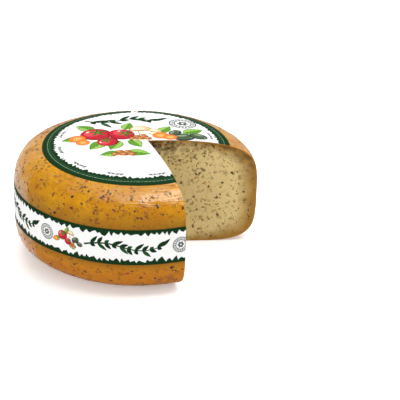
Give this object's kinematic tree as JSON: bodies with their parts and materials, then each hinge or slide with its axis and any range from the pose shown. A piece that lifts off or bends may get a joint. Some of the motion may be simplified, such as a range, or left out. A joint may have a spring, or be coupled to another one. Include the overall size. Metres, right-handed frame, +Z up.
{
  "type": "herb cheese",
  "caption": "Round herb cheese with a glossy golden rind, a crowned top and one wedge cut out, with a round paper label on top and a paper band round its side.",
  "frame": {"origin": "on the wheel's axis, in the flat plane that it rests on", "axes": "+Z up along the wheel's axis; the notch opens between +X and -Y, its middle at 45 degrees to both"},
  "size_m": [0.241, 0.241, 0.1105],
  "materials": {
    "rind": "golden coated rind with herbs under it, satin to glossy",
    "cut_cheese": "pale yellow cut cheese, slightly moist",
    "herbs": "dried green herb and red pepper pieces",
    "label_paper": "smooth white printed label",
    "label_print": "dark green and coloured print"
  },
  "bodies": {
    "root": {"cheese_wheel": "rind", "top_label": "label_paper", "side_label": "label_paper"}
  },
  "joints": []
}
